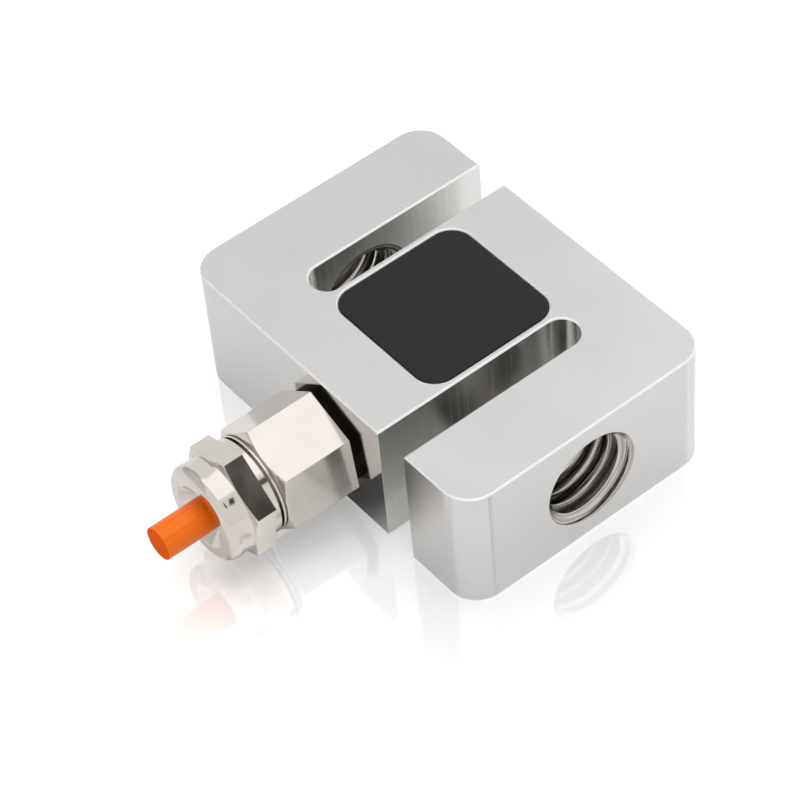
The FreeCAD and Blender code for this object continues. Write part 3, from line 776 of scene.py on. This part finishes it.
def white_acrylic():
    """White sheet: shows the shadow, mirrors a little near the block, and reads as white further off."""
    material, tree = bare("white_acrylic")
    known = dict(add(tree, "ShaderNodeLightPath").outputs.items())
    place = add(tree, "ShaderNodeTexCoord").outputs["Object"]
    away = add(tree, "ShaderNodeVectorMath", {0: place, 1: block_middle}, operation="DISTANCE")
    known["to eye"] = add(tree, "ShaderNodeMapRange", {
        "Value": away.outputs["Value"], "From Min": FADE_FROM * MM, "From Max": FADE_TO * MM,
        "To Min": GLOW_TO_EYE, "To Max": GLOW_FAR_OFF}, interpolation_type="SMOOTHSTEP").outputs[0]
    off_foot = add(tree, "ShaderNodeVectorMath", {0: place, 1: GLAND_FOOT}, operation="DISTANCE")
    known["shade"] = add(tree, "ShaderNodeMapRange", {
        "Value": off_foot.outputs["Value"], "From Min": SHADE_FROM * MM, "From Max": SHADE_TO * MM,
        "To Min": GLAND_SHADE, "To Max": 0.0}, interpolation_type="SMOOTHSTEP").outputs[0]
    work_out(tree, known, (
        ("seen", "MAXIMUM", "Is Camera Ray", "Is Transmission Ray"),
        ("glow to eye", "MULTIPLY", "seen", "to eye"),
        ("glow in metal", "MULTIPLY", "Is Glossy Ray", GLOW_IN_METAL),
        ("glow", "MAXIMUM", "glow to eye", "glow in metal"),
        ("darker", "MULTIPLY", "shade", "Is Glossy Ray")))
    body = add(tree, "ShaderNodeBsdfDiffuse", {"Color": linear("#F8F8F8")})
    glow = add(tree, "ShaderNodeEmission", {"Color": linear("#FFFFFF"), "Strength": known["glow"]})
    both = add(tree, "ShaderNodeAddShader", {0: body.outputs[0], 1: glow.outputs[0]})
    mirror = add(tree, "ShaderNodeBsdfGlossy", {"Color": linear("#FFFFFF"), "Roughness": FLOOR_ROUGHNESS})
    top = add(tree, "ShaderNodeMixShader", {0: FLOOR_GLOSS, 1: both.outputs[0], 2: mirror.outputs[0]})
    dark = add(tree, "ShaderNodeBsdfDiffuse", {"Color": linear("#14110E")})
    sheet = add(tree, "ShaderNodeMixShader", {0: known["darker"], 1: top.outputs[0], 2: dark.outputs[0]})
    add(tree, "ShaderNodeOutputMaterial", {"Surface": sheet.outputs[0]})
    return material


half = FLOOR_SIZE / 2
ground = -FLOOR_DROP * MM
floor = sheet_of("floor", [(-half, -half, ground), (half, -half, ground),
                           (half, half, ground), (-half, half, ground)])
floor.data.materials.append(white_acrylic())
print("floor at z in mm:", ground / MM)


# %% Surround
WORLD_LIGHT, WORLD_IN_METAL = 0.55, 0.92

world = bpy.data.worlds.new("surround")
bpy.context.scene.world = world
world.use_nodes = True
air = world.node_tree
air.nodes.clear()
level = work_out(air, dict(add(air, "ShaderNodeLightPath").outputs.items()), (
    ("seen", "MAXIMUM", "Is Camera Ray", "Is Transmission Ray"),
    ("more in metal", "MULTIPLY", "Is Glossy Ray", WORLD_IN_METAL - WORLD_LIGHT),
    ("light", "ADD", WORLD_LIGHT, "more in metal"),
    ("level", "MAXIMUM", "light", "seen")))
sky = add(air, "ShaderNodeBackground", {"Color": linear("#FFFFFF"), "Strength": level})
add(air, "ShaderNodeOutputWorld", {"Surface": sky.outputs[0]})
print("surround nodes:", len(air.nodes))


# %% [markdown]
# ## Lamp and cards
#
# One large soft lamp hangs overhead and lights what is dull. Metal does not see the lamp itself but a
# cloth in its place, whose size and strength can then be set on their own. Two cards stand to the
# side. A small dark one gives the nut its dark facet, where it would mirror only white. It is no
# larger than that needs, because a large one blackens the block's broad face seen from behind. A grey
# one takes a little light out of the faces on the gland's side, which mirror it by way of the sheet.
# Cloth and cards are seen only in reflections.

# %% Lamp
LAMP_RADIANCE = 1.85
LAMP_SIZE = (1.1, 0.85)
LAMP_PLACE = Vector((0.15, 0.0, 0.9))

lamp = bpy.data.lights.new("softbox", "AREA")
lamp.shape = "RECTANGLE"
lamp.size, lamp.size_y = LAMP_SIZE
lamp.energy = LAMP_RADIANCE * math.pi * lamp.size * lamp.size_y
softbox = bpy.data.objects.new("softbox", lamp)
softbox.location = LAMP_PLACE
softbox.rotation_mode = "QUATERNION"
softbox.rotation_quaternion = (block_middle - LAMP_PLACE).to_track_quat("-Z", "Y")
softbox.visible_glossy = False
bpy.context.scene.collection.objects.link(softbox)
print("softbox watts:", round(lamp.energy, 2))


# %% Cloth
CLOTH_RADIANCE = 1.36
CLOTH_HEIGHT = 0.9
CLOTH_LEFT, CLOTH_RIGHT = -0.30, 0.80
CLOTH_NEAR, CLOTH_FAR = -0.50, 0.48


def only_in_metal(piece, material):
    """A stage piece that shows in reflections and nowhere else."""
    piece.data.materials.append(material)
    piece.visible_camera = False
    piece.visible_diffuse = False
    piece.visible_shadow = False


cloth = sheet_of("softbox_cloth", [
    (CLOTH_LEFT, CLOTH_NEAR, CLOTH_HEIGHT), (CLOTH_LEFT, CLOTH_FAR, CLOTH_HEIGHT),
    (CLOTH_RIGHT, CLOTH_FAR, CLOTH_HEIGHT), (CLOTH_RIGHT, CLOTH_NEAR, CLOTH_HEIGHT)])
glowing, tree = bare("softbox_cloth")
shine = add(tree, "ShaderNodeEmission", {"Color": linear("#FFFFFF"), "Strength": CLOTH_RADIANCE})
add(tree, "ShaderNodeOutputMaterial", {"Surface": shine.outputs[0]})
only_in_metal(cloth, glowing)
print("cloth metres wide:", CLOTH_RIGHT - CLOTH_LEFT)


# %% Cards
def card(name, left, right, start, end, low, high):
    """Felt card that stands over the line from start to end. Its colour fades from left to right."""
    piece = sheet_of(name, [(*start, low), (*end, low), (*end, high), (*start, high)])
    material, tree = bare(name + "_felt")
    place = add(tree, "ShaderNodeTexCoord").outputs["Object"]
    across = add(tree, "ShaderNodeSeparateXYZ", {0: place}).outputs["X"]
    along = add(tree, "ShaderNodeMapRange", {"Value": across, "From Min": start[0], "From Max": end[0]})
    colour = add(tree, "ShaderNodeMix", {0: along.outputs[0], 6: linear(left), 7: linear(right)},
                 data_type="RGBA")
    felt = add(tree, "ShaderNodeBsdfDiffuse", {"Color": colour.outputs[2]})
    add(tree, "ShaderNodeOutputMaterial", {"Surface": felt.outputs[0]})
    only_in_metal(piece, material)


card("dark_card", "#2A2721", "#2A2721", start=(0.18, -0.70), end=(0.46, -0.70), low=0.56, high=0.87)
card("grey_card", "#FAFAFA", "#C0C0C0", start=(-0.95, 0.24), end=(0.10, 0.96), low=0.0, high=1.1)
print("cards placed")


# %% [markdown]
# ## Camera
#
# A long lens from well above, looking along the block's corner. It leans a little to one side.

# %% Camera
LENS, SENSOR = 137.8, 36.0
AIM = block_middle + Vector((-11.9, -2.2, 0.0)) * MM
DISTANCE = 499.9 * MM
AZIMUTH, ELEVATION, LEAN = (math.radians(a) for a in (34.84, 47.94, -5.74))

ahead = Vector((math.sin(AZIMUTH) * math.cos(ELEVATION), math.cos(AZIMUTH) * math.cos(ELEVATION),
                -math.sin(ELEVATION)))
level_right = ahead.cross(Vector((0, 0, 1))).normalized()
right = math.cos(LEAN) * level_right + math.sin(LEAN) * level_right.cross(ahead)
up = right.cross(ahead)
lens = bpy.data.cameras.new("camera")
lens.lens = LENS
lens.sensor_width = SENSOR
camera = bpy.data.objects.new("camera", lens)
turn = Matrix((right, up, -ahead)).transposed().to_4x4()
camera.matrix_world = Matrix.Translation(AIM - ahead * DISTANCE) @ turn
bpy.context.scene.collection.objects.link(camera)
bpy.context.scene.camera = camera
bpy.context.scene.view_settings.view_transform = "Standard"
print("camera stands at mm:", [round(v / MM) for v in camera.location])
